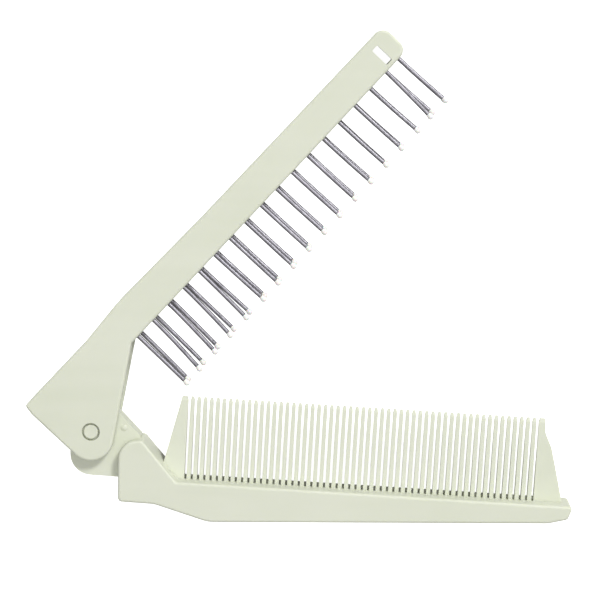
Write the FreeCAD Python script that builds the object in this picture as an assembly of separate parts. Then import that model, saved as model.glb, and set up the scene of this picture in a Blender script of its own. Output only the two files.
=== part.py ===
import FreeCAD, Part
import os
from math import sin, cos, tan, sqrt, radians

# Folding two-sided pet comb, in millimetres. It lies flat on its side: the hinge axis is +Z, through
# the origin, and the outer face of the far ear is at Z = 0. The comb arm runs along +X, with its teeth
# towards +Y. The brush arm is drawn along its own +x, with its back at +y and its pins towards -y, and
# is then turned by brushAngle, which leaves the comb half open.

# Overall sizes
thickness = 10.8          # width of both arms, measured along the hinge axis
brushReach = 114.0        # hinge axis to the brush arm's tip
combReach = 111.8         # hinge axis to the comb arm's tip
brushAngle = 46.4         # direction of the brush arm
spineTaper = 3.45         # slope of the comb arm's top edge, under the teeth
edgeRound = 0.6           # rounding along the arms' outer edges

# Hinge pin
hingePinRadius = 1.6
hingeHeadLip = 0.5        # the head is this much larger in radius than the shank
hingeHeadHeight = 1.2
hingeRingDepth = 0.7      # the head's outer ring, as wide as its lip, stands this much lower
hingeHeadSunk = 0.15      # the head stops this far under the ear's face
hingeBlind = 1.0          # plastic left under the pin in the far ear
runningFit = 0.05         # radial clearance of the tongue's bore on the pin

# Tongue of the comb arm, which turns between the brush arm's two ears
tongueThickness = 4.8
tonguePlay = 0.3          # gap between the tongue and each ear
tongueCorner = 4.9        # radius of its rounded corners
tongueLeft = 5.2          # reach behind the hinge axis
tongueTop = 5.5
tongueBottom = 10.75      # hinge axis straight down to the tongue's lower edge
tongueFall = 4.0          # slope of that edge, down towards the block
tongueNose = 7.35         # hinge axis to the tongue's straight slanted edge
tongueNoseAngle = 42.5    # direction that edge faces
tongueNoseRound = 3.0

# Brush arm
innerHeight = 7.3         # hinge axis to the arm's inner edge, where it starts
innerRise = 0.55          # the edge has come this much closer to the back at the tip
armDepth = 8.3            # inner edge to back
earRadius = 5.3           # round lower end of the ears
earSlope = 32.4           # slope of the ears' slanted edge against the arm
earNeck = 21.7            # where the slanted edge meets the inner edge
neckRound = 0.8
heelReach = 6.55          # hinge axis to the flat end face
heelRelief = 0.45         # step back of the end face's corner at the back
heelReliefLength = 2.5
heelDrop = 0.4            # the back is this much lower behind the hinge
backBulge = 0.5           # and swells this much where the ears end
bulgeAt = 26.0
bulgeStart = 14.0
bulgeEnd = 52.0
tipRound = 2.4
webGap = 0.4              # the web that joins the ears clears the tongue by this
armWall = 1.0             # walls on both sides of the pin strip
armFloor = 2.3            # back wall behind the pin strip
tipWall = 1.5             # end wall beyond the pin strip
hangSlotLength = 4.6
hangSlotWidth = 1.7
hangSlotSide = 1.0        # inner edge to the hanging slot
hangSlotRound = 0.3

# Pin strip and pins
stationCount = 18
firstStation = 23.7
lastPitch = 4.1           # the last two stations stand closer together
tipSpace = 2.84           # last station to the arm's tip
rowSpacing = 6.6
stripLead = 1.4           # strip's end to the first station
stripSink = 0.3           # strip's face below the arm's inner edge
grooveWidth = 3.0         # groove that takes the tooth tips when the comb is folded
grooveSpare = 1.9         # the groove is this much deeper than the teeth reach
pinRadius = 0.5
pinHeadRadius = 0.75
pinHeadHeight = 0.5
pinFreeFirst = 15.1       # free metal length at the hinge end, and at the arm's tip
pinFreeLast = 13.2
ballRadius = 0.72
ballGrip = 0.85           # length of pin inside its ball

# Comb arm
toothDip = 1.6            # the folded teeth reach this far past the brush arm's inner edge
spineDepth = 10.7         # depth of the spine, carried on to the hinge axis
blockLeft = 6.3           # hinge axis to the block's end face
blockLean = 0.25          # its lower end stands out by this
blockRise = 4.8           # the block's lower corner lies this far above the flat bottom
cornerRadius = 4.5        # round top corner of the block
cornerTop = 2.1           # hinge axis down to the top of that corner
faceAngle = 38.6          # direction that the block's slanted face points
faceReach = 7.96          # hinge axis to that face
stepStart = 14.5          # the bottom steps down from here
stepEnd = 27.0
stepFall = 0.6            # fall of the block's bottom before the step
tipFlatEnd = 5.8          # the flat bottom ends this far from the tip
tipRise = 0.9             # height of the tip's lower corner above it
tipSlant = 1.2            # slant of the tip's end face
toothPitch = 1.478
toothGap = 0.52
toothLength = 19.5
toothPoint = 0.9          # length of the pointed ends
toothPointWidth = 0.55    # width at the very tip
guardLead = 1.894         # block's slanted face to the first gap, along X, at their feet
bladeRoot = 2.0           # blade thickness at the teeth's feet, and at their ends
bladeTip = 1.1
bladeSink = 1.5           # the blade runs this far into the spine
guardTop = 1.45           # widths of the two guards at the tooth tips
guardSpace = 9.1          # last gap to the comb arm's tip
guardLeftRun = 5.0        # how far the left guard widens towards its foot
guardNeck = 0.27          # how far the right guard has widened at its neck, its shoulder,
guardShoulder = 1.84      # its flank and its foot, and how high above the foot each of them is
guardFlank = 2.69
guardFoot = 5.2
guardNeckHeight = 16.2
guardShoulderHeight = 12.9
guardFlankHeight = 9.8

# Detent that holds the comb shut
detentAt = 7.4            # hinge axis to the bumps and dimples
detentRadius = 0.8
detentBump = 0.24         # height of the bumps on the tongue
detentSpare = 0.06        # the dimples in the ears are larger than the bumps by this
detentAngle = 3.5         # direction of the bumps from the hinge axis

midZ = thickness / 2
hingeHeadRadius = hingePinRadius + hingeHeadLip
tongueSide = (thickness - tongueThickness) / 2
earThickness = tongueSide - tonguePlay
backHeight = innerHeight + armDepth
channelFloor = backHeight - armFloor
stripStart = firstStation - stripLead
stripEnd = brushReach - tipWall
headSeat = thickness - hingeHeadSunk - hingeHeadHeight
rows = (midZ - rowSpacing / 2, midZ + rowSpacing / 2)
lastStation = brushReach - tipSpace
stationPitch = (lastStation - lastPitch - firstStation) / (stationCount - 2)
stations = [firstStation + stationPitch * i for i in range(stationCount - 1)] + [lastStation]
webFloor = tongueBottom + webGap
grooveDepth = toothDip + grooveSpare
spineDrop = toothLength - toothDip - innerHeight    # hinge axis to the teeth's feet, square to them
spineBottom = spineDrop + spineDepth
blockBottom = spineBottom - blockRise
along = (cos(radians(spineTaper)), -sin(radians(spineTaper)))
upward = (sin(radians(spineTaper)), cos(radians(spineTaper)))


def vec(x, y, z=0.0):
    return FreeCAD.Vector(x, y, z)


def box(x0, x1, y0, y1, z0, z1):
    return Part.makeBox(x1 - x0, y1 - y0, z1 - z0, vec(x0, y0, z0))


def upright(x, y, z0, z1, radius):
    return Part.makeCylinder(radius, z1 - z0, vec(x, y, z0), vec(0, 0, 1))


def crosswise(x, z, y0, y1, radius):
    return Part.makeCylinder(radius, y1 - y0, vec(x, y0, z), vec(0, 1, 0))


def prism(corners, z0, z1):
    """Prism between two heights on a closed outline of (x, y, corner radius)."""
    edges = []
    ends = []
    for i, (x, y, radius) in enumerate(corners):
        here = vec(x, y)
        back = (vec(*corners[i - 1][:2]) - here).normalize()
        onward = (vec(*corners[(i + 1) % len(corners)][:2]) - here).normalize()
        half = back.getAngle(onward) / 2
        reach = radius / tan(half)
        ends.append((here + back * reach, here + onward * reach))
        if radius > 0:
            inward = (back + onward).normalize()
            middle = here + inward * (radius / sin(half) - radius)
            edges.append(Part.Arc(ends[-1][0], middle, ends[-1][1]).toShape())
    for i in range(len(corners)):
        start, end = ends[i - 1][1], ends[i][0]
        if (end - start).Length > 1e-6:
            edges.append(Part.LineSegment(start, end).toShape())
    face = Part.Face(Part.Wire(Part.__sortEdges__(edges)))
    solid = face.extrude(vec(0, 0, z1 - z0))
    solid.translate(vec(0, 0, z0))
    return solid


def softened(solid, radius):
    """Round both flat sides' outlines."""
    level = [e for e in solid.Edges if e.BoundBox.ZLength < 1e-6]
    return solid.makeFillet(radius, level)


def cap(x, y, z, side, radius, height):
    """Cap of a sphere that rises by height from the plane z, on the side given as 1 or -1."""
    ball = (radius ** 2 + height ** 2) / (2 * height)
    sphere = Part.makeSphere(ball, vec(x, y, z + side * (height - ball)))
    low, high = sorted((z - side * height, z + side * 2 * height))
    return sphere.common(upright(x, y, low, high, radius))


def meet(angleA, reachA, angleB, reachB):
    """Crossing point of two lines, each given by the way it faces and its distance from the axis."""
    a, b = radians(angleA), radians(angleB)
    det = sin(b - a)
    return ((reachA * sin(b) - reachB * sin(a)) / det, (reachB * cos(a) - reachA * cos(b)) / det)


faceFoot = meet(faceAngle, faceReach, 90 - spineTaper, -spineDrop)
firstGap = faceFoot[0] + guardLead
toothCount = round((combReach - guardSpace - firstGap) / (toothPitch * cos(radians(spineTaper))))


def spineTop(x):
    return -(spineDrop + x * upward[0]) / upward[1]


def onSpine(run, rise):
    """Point at a run along the top edge from the first gap, and a rise square to it."""
    x = firstGap + run * along[0] + rise * upward[0]
    return (x, spineTop(firstGap) + run * along[1] + rise * upward[1])


def innerEdge(x):
    return innerHeight + innerRise * (x - earNeck) / (brushReach - earNeck)


def hangSlot():
    x = (stations[-2] + stations[-1]) / 2
    y = innerEdge(x) + hangSlotSide
    half = hangSlotWidth / 2
    corners = [(x - half, y), (x + half, y), (x + half, y + hangSlotLength), (x - half, y + hangSlotLength)]
    return prism([(a, b, hangSlotRound) for a, b in corners], -1, thickness + 1)


def stripRoom(sink, z0, z1):
    """Room along the strip, from a depth under the inner edge to the channel's floor."""
    corners = [(stripStart, innerEdge(stripStart) + sink), (stripEnd, innerEdge(stripEnd) + sink),
               (stripEnd, channelFloor), (stripStart, channelFloor)]
    return prism([(x, y, 0) for x, y in corners], z0, z1)


def makeBrushArm():
    earFoot = innerHeight - (earNeck + heelReach) * tan(radians(earSlope))
    heelTop = backHeight - heelDrop
    arm = prism([
        (-heelReach, earFoot, earRadius), (earNeck, innerHeight, neckRound),
        (brushReach, innerEdge(brushReach), tipRound), (brushReach, backHeight, tipRound),
        (bulgeEnd, backHeight, bulgeEnd), (bulgeAt, backHeight + backBulge, bulgeAt),
        (bulgeStart, heelTop, bulgeStart), (heelRelief - heelReach, heelTop, edgeRound),
        (-heelReach, heelTop - heelReliefLength, heelReliefLength)], 0, thickness)
    arm = softened(arm, edgeRound)
    earSlot = box(-2 * heelReach, stripStart, -innerHeight, webFloor,
                  earThickness, thickness - earThickness)
    arm = arm.cut([earSlot, stripRoom(-1, armWall, thickness - armWall), hangSlot()])
    arm = arm.cut(upright(0, 0, hingeBlind, thickness, hingePinRadius))
    arm = arm.cut(upright(0, 0, headSeat, thickness + 1, hingeHeadRadius))
    folded = radians(detentAngle + spineTaper)
    x, y = detentAt * cos(folded), detentAt * sin(folded)
    for z, side in ((earThickness, -1), (thickness - earThickness, 1)):
        arm = arm.cut(cap(x, y, z, side, detentRadius + detentSpare, detentBump - tonguePlay / 2))
    return arm.removeSplitter()


def makePinStrip():
    strip = stripRoom(stripSink, armWall, thickness - armWall)
    groove = box(stripStart, stripEnd, innerHeight, innerHeight + grooveDepth,
                 midZ - grooveWidth / 2, midZ + grooveWidth / 2)
    strip = strip.cut(groove).cut(hangSlot())
    for x in stations:
        for z in rows:
            strip = strip.cut(makePin(x, z, innerHeight - 1))
    return strip


def makePin(x, z, end):
    """Headed pin from the channel's floor to its free end."""
    head = crosswise(x, z, channelFloor - pinHeadHeight, channelFloor, pinHeadRadius)
    return crosswise(x, z, end, channelFloor, pinRadius).fuse(head)


def metalEnd(x):
    """Where the bare metal of a pin stops: its free length falls evenly towards the arm's tip."""
    share = (x - stations[0]) / (stations[-1] - stations[0])
    return innerHeight - pinFreeFirst - (pinFreeLast - pinFreeFirst) * share


def makePinPair(x):
    return Part.makeCompound([makePin(x, z, metalEnd(x) - ballGrip) for z in rows])


def makeBallPair(x):
    top = metalEnd(x)
    centre = top - sqrt(ballRadius ** 2 - pinRadius ** 2)
    balls = []
    for z in rows:
        ball = Part.makeSphere(ballRadius, vec(x, centre, z), vec(0, 1, 0))
        balls.append(ball.cut(crosswise(x, z, top - ballGrip, top + ballRadius, pinRadius)))
    return Part.makeCompound(balls)


def makeHingePin():
    top = thickness - hingeHeadSunk
    shank = upright(0, 0, hingeBlind, top, hingePinRadius)
    return shank.fuse(upright(0, 0, headSeat, top - hingeRingDepth, hingeHeadRadius)).removeSplitter()


def makeTongue():
    foot = meet(tongueNoseAngle, tongueNose, faceAngle, faceReach)[0] - 0.4
    nose = radians(tongueNoseAngle)

    def noseX(y):
        return (tongueNose - y * sin(nose)) / cos(nose)

    footY = (tongueNose - foot * cos(nose)) / sin(nose)
    fall = tan(radians(tongueFall))
    return prism([
        (-tongueLeft, tongueLeft * fall - tongueBottom, tongueCorner),
        (foot, -foot * fall - tongueBottom, 0), (foot, footY, 0),
        (noseX(tongueTop), tongueTop, tongueNoseRound), (-tongueLeft, tongueTop, tongueCorner)],
        tongueSide, thickness - tongueSide)


def makeBlade():
    """Plate of teeth between two guards, thinner towards the tooth tips."""
    lastRun = toothCount * toothPitch
    sink = -bladeSink
    half = toothGap / 2
    guard = lastRun + half + guardTop
    plate = prism([
        onSpine(-guardTop - guardLeftRun, sink) + (0,), onSpine(guard + guardFoot, sink) + (0,),
        onSpine(guard + guardFoot, 0) + (0.4,), onSpine(guard + guardFlank, guardFlankHeight) + (3.0,),
        onSpine(guard + guardShoulder, guardShoulderHeight) + (2.0,),
        onSpine(guard + guardNeck, guardNeckHeight) + (1.5,), onSpine(guard, toothLength) + (0.3,),
        onSpine(-half - guardTop, toothLength) + (0.3,)], 0, thickness)
    tipHalf, rootHalf = bladeTip / 2, bladeRoot / 2
    section = Part.makePolygon([
        vec(0, sink, midZ - rootHalf), vec(0, 0, midZ - rootHalf),
        vec(0, toothLength - toothPoint, midZ - tipHalf), vec(0, toothLength, midZ - tipHalf / 2),
        vec(0, toothLength, midZ + tipHalf / 2), vec(0, toothLength - toothPoint, midZ + tipHalf),
        vec(0, 0, midZ + rootHalf), vec(0, sink, midZ + rootHalf), vec(0, sink, midZ - rootHalf)])
    wedge = Part.Face(section).extrude(vec(2 * combReach, 0, 0))
    wedge.translate(vec(-combReach / 2, 0, 0))
    wedge.rotate(vec(0, 0, 0), vec(0, 0, 1), -spineTaper)
    wedge.translate(vec(*onSpine(0, 0)))
    flare = (toothPitch - toothPointWidth) / 2
    gaps = []
    for i in range(toothCount + 1):
        run = i * toothPitch
        sides = [(-half, 0), (half, 0), (half, toothLength - toothPoint), (flare, toothLength + 0.1),
                 (-flare, toothLength + 0.1), (-half, toothLength - toothPoint)]
        gaps.append(prism([onSpine(run + a, b) + (0,) for a, b in sides], 0, thickness))
    return plate.common(wedge).cut(gaps)


def makeCombArm():
    peak = meet(faceAngle, faceReach, 90, -cornerTop)
    arm = prism([
        (blockLeft - blockLean, -blockBottom, 1.0), (stepStart, -blockBottom - stepFall, 6.0),
        (stepEnd, -spineBottom, 8.0), (combReach - tipFlatEnd, -spineBottom, 6.0),
        (combReach - tipSlant, tipRise - spineBottom, 1.2),
        (combReach, spineTop(combReach), edgeRound + 0.05),
        faceFoot + (1.0,), peak + (1.0,),
        (blockLeft, -cornerTop, cornerRadius)], 0, thickness)
    arm = softened(arm, edgeRound)
    arm = arm.fuse([makeTongue(), makeBlade()])
    arm = arm.cut(upright(0, 0, 0, thickness, hingePinRadius + runningFit))
    x, y = detentAt * cos(radians(detentAngle)), detentAt * sin(radians(detentAngle))
    for z, side in ((tongueSide, -1), (thickness - tongueSide, 1)):
        arm = arm.fuse(cap(x, y, z, side, detentRadius, detentBump))
    return arm.removeSplitter()


def save(shape, name):
    if not shape.isValid():
        raise ValueError(name + " is not a valid shape")
    shape.exportStep("parts/" + name + ".step")
    print(name, "solids", len(shape.Solids), "volume", round(shape.Volume, 2))


def turned(shape):
    shape.rotate(vec(0, 0, 0), vec(0, 0, 1), brushAngle)
    return shape


def main():
    os.makedirs("parts", exist_ok=True)
    save(turned(makeBrushArm()), "brush_arm")
    save(turned(makePinStrip()), "pin_strip")
    save(makeHingePin(), "hinge_pin")
    save(makeCombArm(), "comb_arm")
    for number, x in enumerate(stations, 1):
        save(turned(makePinPair(x)), f"pin_pair_{number:02d}")
        save(turned(makeBallPair(x)), f"ball_tips_{number:02d}")


main()
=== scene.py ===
import math
import random

import bmesh
import bpy
from mathutils import Matrix, Vector


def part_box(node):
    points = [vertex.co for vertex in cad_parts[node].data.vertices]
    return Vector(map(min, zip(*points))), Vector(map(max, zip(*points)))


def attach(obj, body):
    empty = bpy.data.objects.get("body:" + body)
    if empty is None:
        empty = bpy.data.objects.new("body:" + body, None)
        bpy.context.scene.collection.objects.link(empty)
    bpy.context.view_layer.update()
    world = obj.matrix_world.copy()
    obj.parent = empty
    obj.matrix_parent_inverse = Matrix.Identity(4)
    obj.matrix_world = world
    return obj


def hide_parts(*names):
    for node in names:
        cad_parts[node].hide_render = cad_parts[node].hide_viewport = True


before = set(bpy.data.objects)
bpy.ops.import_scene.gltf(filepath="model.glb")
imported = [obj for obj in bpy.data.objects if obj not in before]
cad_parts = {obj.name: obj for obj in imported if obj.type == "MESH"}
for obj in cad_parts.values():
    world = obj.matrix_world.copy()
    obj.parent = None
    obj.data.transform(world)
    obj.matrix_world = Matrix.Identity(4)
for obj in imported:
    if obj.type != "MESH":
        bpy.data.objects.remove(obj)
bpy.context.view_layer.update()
mm = 0.001                                 # in Blender's metres
print("frame loaded:", len(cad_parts), "nodes")


class Wire:
    # a socket that adds its Math nodes when it is used in an expression
    def __init__(self, finish, socket):
        self.finish, self.socket = finish, socket

    def maths(self, operation, *values):
        return self.finish.add("ShaderNodeMath", {"operation": operation}, values)

    def __add__(self, other):
        return self.maths("ADD", self, other)

    def __sub__(self, other):
        return self.maths("SUBTRACT", self, other)

    def __rsub__(self, other):
        return self.maths("SUBTRACT", other, self)

    def __mul__(self, other):
        return self.maths("MULTIPLY", self, other)

    __radd__, __rmul__ = __add__, __mul__


class Finish:
    # one material: constants go straight on the shader, the rest is fed to it
    def __init__(self, name, constants):
        self.material = bpy.data.materials.new(name)
        self.material.use_nodes = True
        self.tree = self.material.node_tree
        self.shader = self.tree.nodes["Principled BSDF"]
        for socket, value in constants.items():
            self.shader.inputs[socket].default_value = value

    def add(self, kind, settings, values, output=None):
        # any other node: its type, its settings, the values or links of its sockets, and the output
        node = self.tree.nodes.new(kind)
        for key, value in settings.items():
            if key == "stops":
                self.setStops(node.color_ramp, value)
            else:
                setattr(node, key, value)
        live = [socket for socket in node.inputs if socket.enabled]
        pairs = values.items() if isinstance(values, dict) else enumerate(values)
        for key, value in pairs:
            socket = node.inputs[key] if isinstance(key, str) else live[key]
            if isinstance(value, Wire):
                self.tree.links.new(value.socket, socket)
            else:
                socket.default_value = value
        if output:
            return Wire(self, node.outputs[output])
        return Wire(self, next(socket for socket in node.outputs if socket.enabled))

    def setStops(self, ramp, stops):
        while len(ramp.elements) < len(stops):
            ramp.elements.new(0.5)
        for element, (place, level) in zip(ramp.elements, stops):
            element.position = place
            element.color = (level, level, level, 1)

    def places(self, angle=0.0, stretch=(1, 1, 1)):
        # places on the piece at rest, turned about Z and stretched
        place = self.add("ShaderNodeTexCoord", {}, {}, "Object")
        return self.add("ShaderNodeMapping", {"vector_type": "POINT"}, {
            "Vector": place, "Rotation": (0, 0, -math.radians(angle)), "Scale": stretch})

    def noise(self, places, scale, detail=2.0, rough=0.5):
        return self.add("ShaderNodeTexNoise", {"noise_dimensions": "3D"}, {
            "Vector": places, "Scale": scale, "Detail": detail, "Roughness": rough})

    def ramp(self, value, stops):
        return self.add("ShaderNodeValToRGB", {"stops": stops}, [value])

    def mix(self, share, low, high):
        return self.add("ShaderNodeMix", {"data_type": "RGBA"}, [share, low, high])

    def tone(self, first, second, secondShare, limits):
        # two noises in one, spread from 0 to 1 between the limits
        low, high = limits
        both = first * (1 - secondShare) + second * secondShare
        return self.ramp(both, [(low, 0.0), (high, 1.0)])

    def bump(self, height, strength, distance):
        normal = self.add("ShaderNodeBump", {}, {
            "Height": height, "Strength": strength, "Distance": distance})
        self.feed("Normal", normal)

    def feed(self, socket, wire):
        self.tree.links.new(wire.socket, self.shader.inputs[socket])

    def tint(self, share, look):
        # from a look's shade to its full colour
        self.feed("Base Color", self.mix(share, rgba(look["shade"]), rgba(look["colour"])))


def rgba(colour):
    return (*colour, 1.0)


# moulded plastic of both arms, the strip and the hinge pin
plastic = {
    "colour": (0.70, 0.72, 0.605),
    "shade": (0.665, 0.69, 0.565),
    "roughness": 0.45,
    "roughnessSpread": 0.10,
    "ior": 1.49,
    "specular": 0.3,
    "subsurface": 0.2,
    "subsurfaceDepth": 1.2 * mm,
    "subsurfaceReach": (1.0, 1.0, 0.7),    # of red, green and blue, as shares of that depth
    "cloudScale": 45,                      # slow changes of tone
    "flowScale": 260,                      # flow lines that run along an arm
    "flowStretch": (0.12, 1, 0.6),
    "flowShare": 0.35,                     # of the tone, the clouds make the rest
    "toneRange": (0.35, 0.65),             # noise levels that give the shade and the full colour
    "grainScale": 4200,
    "peelScale": 700,                      # soft waves under the grain
    "peelShare": 0.55,
    "grainStrength": 0.35,
    "grainDepth": 0.02 * mm,
}


def mouldedPlastic(name, flowAngle):
    look = plastic
    finish = Finish(name, {
        "IOR": look["ior"], "Specular IOR Level": look["specular"],
        "Subsurface Weight": look["subsurface"], "Subsurface Scale": look["subsurfaceDepth"],
        "Subsurface Radius": look["subsurfaceReach"]})
    place = finish.places()
    clouds = finish.noise(place, look["cloudScale"], detail=3, rough=0.55)
    flow = finish.noise(finish.places(flowAngle, look["flowStretch"]), look["flowScale"])
    grain = finish.noise(place, look["grainScale"], rough=0.6)
    peel = finish.noise(place, look["peelScale"])
    finish.tint(finish.tone(clouds, flow, look["flowShare"], look["toneRange"]), look)
    finish.feed("Roughness", (clouds + grain - 1.0) * look["roughnessSpread"] + look["roughness"])
    relief = grain * (1 - look["peelShare"]) + peel * look["peelShare"]
    finish.bump(relief, look["grainStrength"], look["grainDepth"])
    return finish.material


# drawn steel of the pins
steel = {
    "colour": (0.345, 0.335, 0.365),
    "shade": (0.19, 0.185, 0.205),
    "roughness": 0.42,
    "roughnessSpread": 0.18,
    "drawScale": 2600,                     # fine lines along the wire
    "drawStretch": (1, 0.04, 1),
    "drawStrength": 0.3,
    "drawDepth": 0.01 * mm,
    "patchScale": 350,                     # duller and brighter stretches
    "patchShare": 0.4,
    "toneRange": (0.35, 0.65),
}


def drawnSteel(flowAngle):
    look = steel
    finish = Finish("drawnSteel", {"Metallic": 1.0})
    lines = finish.noise(finish.places(flowAngle, look["drawStretch"]), look["drawScale"], rough=0.6)
    patches = finish.noise(finish.places(), look["patchScale"])
    finish.tint(finish.tone(lines, patches, look["patchShare"], look["toneRange"]), look)
    finish.feed("Roughness", (lines - 0.5) * look["roughnessSpread"] + look["roughness"])
    finish.bump(lines, look["drawStrength"], look["drawDepth"])
    return finish.material


# nylon of the ball tips
nylon = {
    "colour": (0.95, 0.94, 0.91),
    "shade": (0.90, 0.885, 0.85),
    "roughness": 0.30,
    "roughnessSpread": 0.15,
    "ior": 1.53,
    "subsurface": 0.2,
    "subsurfaceDepth": 0.5 * mm,
    "cloudScale": 600,
    "grainScale": 2500,
    "grainStrength": 0.2,
    "grainDepth": 0.02 * mm,
}


def dippedNylon():
    look = nylon
    finish = Finish("dippedNylon", {
        "IOR": look["ior"], "Subsurface Weight": look["subsurface"],
        "Subsurface Scale": look["subsurfaceDepth"]})
    clouds = finish.noise(finish.places(), look["cloudScale"])
    finish.tint(clouds, look)
    finish.feed("Roughness", (clouds - 0.5) * look["roughnessSpread"] + look["roughness"])
    grain = finish.noise(finish.places(), look["grainScale"])
    finish.bump(grain, look["grainStrength"], look["grainDepth"])
    return finish.material


def assign(piece, material):
    piece.data.materials.clear()
    piece.data.materials.append(material)


brush = {"angle": 46.4}                    # the brush arm's direction from +X, in degrees
brushPlastic = mouldedPlastic("brushPlastic", brush["angle"])
combPlastic = mouldedPlastic("combPlastic", 0.0)
wireSteel = drawnSteel(brush["angle"])
tipNylon = dippedNylon()
for nodeName, material in (("brush_arm", brushPlastic), ("pin_strip", brushPlastic),
                           ("comb_arm", combPlastic)):
    assign(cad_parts[nodeName], material)
print("materials made")


def turnedPiece(name, tracks, sides):
    # each track is a list of (centre, axis, radius) rings, closed at both ends
    mesh = bpy.data.meshes.new(name)
    work = bmesh.new()
    for rings in tracks:
        loops = []
        for centre, axis, radius in rings:
            turn = axis.to_track_quat("Z", "Y").to_matrix()
            loop = []
            for i in range(sides):
                angle = 2 * math.pi * i / sides
                loop.append(work.verts.new(centre + turn @ Vector((
                    radius * math.cos(angle), radius * math.sin(angle), 0))))
            loops.append(loop)
        for low, high in zip(loops, loops[1:]):
            for i in range(sides):
                j = (i + 1) % sides
                work.faces.new((low[i], low[j], high[j], high[i]))
        work.faces.new(list(reversed(loops[0])))
        work.faces.new(loops[-1])
    bmesh.ops.recalc_face_normals(work, faces=work.faces)
    for face in work.faces:
        face.smooth = len(face.verts) == 4
    work.to_mesh(mesh)
    work.free()
    piece = bpy.data.objects.new(name, mesh)
    bpy.context.collection.objects.link(piece)
    return piece


# pins and their ball tips
pins = {
    "stations": 18,
    "radius": 0.5 * mm,
    "headRadius": 0.75 * mm,
    "headHeight": 0.5 * mm,
    "straight": 5.5 * mm,                  # length from the head's end that the strip holds straight
    "steps": 10,                           # rings along the bent rest
    "sides": 20,
    "lean": (0.0, 0.55 * mm),              # they lean more and more towards the arm's tip
    "leanSpread": 0.10 * mm,
    "bendPower": 1.6,
    "bentPairs": {                         # near and far pin's own lean in mm, at stations bent by use
        1: (-0.2, -0.5), 2: (-1.0, -0.35), 3: (-0.8, -0.5), 4: (-0.75, -0.05), 5: (-0.4, 0.2),
        17: (-0.4, 0.55)},
    "ballRadius": 0.72 * mm,
    "ballSides": 24,
    "ballSteps": 14,
    "grip": 0.85 * mm,                     # length of wire inside a ball
    "skirt": 0.45 * mm,                    # how far the ball's skirt runs up the wire
    "skirtWall": 0.015 * mm,               # its thickness at the upper rim
    "skirtSteps": 5,
    "joinShare": 0.86,                     # the skirt meets the ball at this share of its radius
}


def pinEnds(station):
    # root and free end of a station's pins, in the arm's own plane
    low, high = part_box(f"pin_pair_{station:02d}")
    angle = math.radians(brush["angle"])
    c, s = math.cos(angle), math.sin(angle)
    root = Vector((low.x + pins["headRadius"] * c, high.y - pins["headRadius"] * s, 0))
    end = Vector((high.x - pins["radius"] * c, low.y + pins["radius"] * s, 0))
    rows = (high.z - pins["headRadius"], low.z + pins["headRadius"])
    return root, end, rows, Vector((c, s, 0))


def makeStation(station, chance):
    root, end, rows, armWay = pinEnds(station)
    least, most = pins["lean"]
    wires, balls = [], []
    for row, z in enumerate(rows):
        side = least + (most - least) * station / pins["stations"]
        side += chance.uniform(-1, 1) * pins["leanSpread"]
        if station in pins["bentPairs"]:
            side = pins["bentPairs"][station][row] * mm
        out = chance.uniform(-1, 1) * pins["leanSpread"]
        level = Vector((0, 0, z))
        wire, ball = bentPin(root + level, end + level, armWay * side + Vector((0, 0, out)))
        wires.append(wire)
        balls.append(ball)
    wire = turnedPiece(f"pinPair{station:02d}", wires, pins["sides"])
    ball = turnedPiece(f"ballTips{station:02d}", balls, pins["ballSides"])
    for piece, material, node in ((wire, wireSteel, "pin_pair"), (ball, tipNylon, "ball_tips")):
        assign(piece, material)
        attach(piece, "brush")
        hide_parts(f"{node}_{station:02d}")


def bentPin(root, end, drift):
    # rings of one pin and of its ball, where the free end has moved by the drift
    length = (end - root).length
    down = (end - root) / length
    head, straight, radius = pins["headHeight"], pins["straight"], pins["radius"]
    near = 0.1 * mm                        # the wire's direction is taken this far to both sides

    def centre(run):
        free = max(0.0, run - straight) / (length - straight)
        return root + down * run + drift * free ** pins["bendPower"]

    def way(run):
        return (centre(run + near) - centre(run - near)).normalized()

    rings = [(root, down, pins["headRadius"]), (root + down * head, down, pins["headRadius"]),
             (root + down * head, down, radius), (root + down * straight, down, radius)]
    for i in range(1, pins["steps"] + 1):
        run = straight + (length - straight) * i / pins["steps"]
        rings.append((centre(run), way(run), radius))
    return rings, ballRings(centre(length), way(length))


def ballRings(wireEnd, axis):
    # a round drop with a short skirt up the wire
    radius, skirtRadius = pins["ballRadius"], pins["radius"] + pins["skirtWall"]
    rim = math.sqrt(radius ** 2 - pins["radius"] ** 2)
    centre = wireEnd - axis * (pins["grip"] - rim)
    joinRadius = radius * pins["joinShare"]
    start = math.acos(pins["joinShare"])
    rings = []
    for i in range(pins["skirtSteps"]):
        t = i / pins["skirtSteps"]
        ease = t * t * (3 - 2 * t)
        along = -radius * math.sin(start) - pins["skirt"] * (1 - t)
        rings.append((centre + axis * along, axis, skirtRadius + (joinRadius - skirtRadius) * ease))
    for i in range(pins["ballSteps"]):
        angle = -start + (math.pi / 2 + start) * i / pins["ballSteps"]
        rings.append((centre + axis * radius * math.sin(angle), axis, radius * math.cos(angle)))
    return rings


chance = random.Random(7)
for station in range(1, pins["stations"] + 1):
    makeStation(station, chance)
print("pins and ball tips made")


# hinge pin
hinge = {
    "shankRadius": 1.6 * mm,
    "endBevel": 0.15 * mm,                 # at the shank's blind end
    "headHeight": 1.2 * mm,
    "ringDrop": 0.70 * mm,                 # the head's outer ring stands this much lower than its middle
    "edge": 0.08 * mm,                     # rounding around the middle
    "edgeSteps": 4,
    "dish": 0.05 * mm,                     # the middle is a little hollow
    "dishSteps": 8,
    "sides": 64,
}


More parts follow.
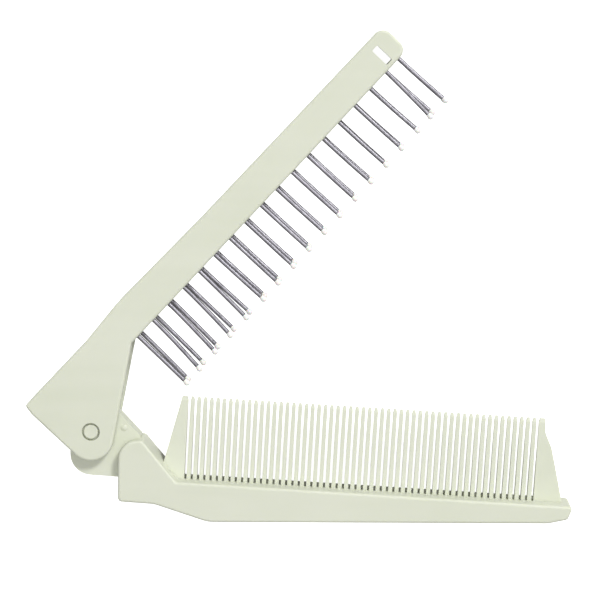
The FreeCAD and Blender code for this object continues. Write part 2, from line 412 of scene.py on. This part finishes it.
def makeHingePin():
    low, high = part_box("hinge_pin")
    shank, bevel, edge = hinge["shankRadius"], hinge["endBevel"], hinge["edge"]
    radius, inner = (high.x - low.x) / 2, shank - edge
    seat, ring = high.z - hinge["headHeight"], high.z - hinge["ringDrop"]
    profile = [(low.z, shank - bevel), (low.z + bevel, shank), (seat, shank), (seat, radius),
               (ring, radius), (ring, shank)]
    for i in range(hinge["edgeSteps"]):
        turn = math.pi / 2 * i / hinge["edgeSteps"]
        profile.append((high.z - edge * (1 - math.sin(turn)), inner + edge * math.cos(turn)))
    for i in range(hinge["dishSteps"]):
        share = 1 - i / hinge["dishSteps"]
        profile.append((high.z - hinge["dish"] * (1 - share ** 2), inner * share))
    track = [(Vector((0, 0, z)), Vector((0, 0, 1)), r) for z, r in profile]
    pin = turnedPiece("hingePin", [track], hinge["sides"])
    assign(pin, brushPlastic)
    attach(pin, "brush")
    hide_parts("hinge_pin")


makeHingePin()
print("hinge pin made")


# floor and lights
studio = {
    "floorSize": 3.0,
    "floorColour": (0.76, 0.76, 0.76),
    "floorGlow": 0.95,
    "floorRoughness": 0.85,
    "floorSpecular": 0.1,
    "speckScale": 900,
    "speckShade": 0.985,                   # share of the floor's colour
    "worldStrength": 0.42,
    "aim": (0.05, 0.03, 0),                # both lights face this point
    "key": {"power": 50.0, "size": 0.55, "place": (1.22, 1.78, 1.72)},
    "fill": {"power": 3.2, "size": 0.6, "place": (0.05, -0.05, 1.20)},
}


def makeFloor():
    # the paper glows for the camera alone, so that it stays white without lighting the comb from below
    bpy.ops.mesh.primitive_plane_add(size=studio["floorSize"])
    floor = bpy.context.object
    floor.name = "floor"
    finish = Finish("floorPaper", {
        "Roughness": studio["floorRoughness"], "Specular IOR Level": studio["floorSpecular"],
        "Emission Strength": 1.0})
    speck = finish.noise(finish.places(), studio["speckScale"])
    pale = studio["floorColour"]
    dim = [level * studio["speckShade"] for level in pale]
    finish.feed("Base Color", finish.mix(speck, rgba(pale), rgba(dim)))
    seen = finish.add("ShaderNodeLightPath", {}, {}, "Is Camera Ray")
    finish.feed("Emission Color", finish.mix(seen, rgba([0, 0, 0]), rgba([studio["floorGlow"]] * 3)))
    assign(floor, finish.material)


def makeLight(name):
    lamp = studio[name]
    data = bpy.data.lights.new(name, "AREA")
    data.energy, data.size = lamp["power"], lamp["size"]
    light = bpy.data.objects.new(name, data)
    bpy.context.collection.objects.link(light)
    light.location = lamp["place"]
    facing = Vector(studio["aim"]) - Vector(lamp["place"])
    light.rotation_mode = "QUATERNION"
    light.rotation_quaternion = facing.to_track_quat("-Z", "Y")


def makeWorld():
    world = bpy.data.worlds.new("studio")
    bpy.context.scene.world = world
    world.use_nodes = True
    background = world.node_tree.nodes["Background"]
    background.inputs["Color"].default_value = (1, 1, 1, 1)
    background.inputs["Strength"].default_value = studio["worldStrength"]


camera = {
    "place": (0.06041, 0.09082, 0.49796),
    "forward": (-0.02416, -0.12204, -0.99223),
    "up": (-0.00182, 0.99252, -0.12204),
    "lens": 128.4,
    "sensorWidth": 36,
    "clipStart": 0.01,
}


def makeCamera():
    data = bpy.data.cameras.new("camera")
    data.lens, data.sensor_width = camera["lens"], camera["sensorWidth"]
    data.clip_start = camera["clipStart"]
    eye = bpy.data.objects.new("camera", data)
    bpy.context.collection.objects.link(eye)
    back = -Vector(camera["forward"]).normalized()
    right = Vector(camera["up"]).cross(back).normalized()
    up = back.cross(right)
    turn = Matrix((right, up, back)).transposed().to_4x4()
    eye.matrix_world = Matrix.Translation(camera["place"]) @ turn
    bpy.context.scene.camera = eye


makeFloor()
makeLight("key")
makeLight("fill")
makeWorld()
makeCamera()
bpy.context.scene.view_settings.view_transform = "Standard"
print("studio made")
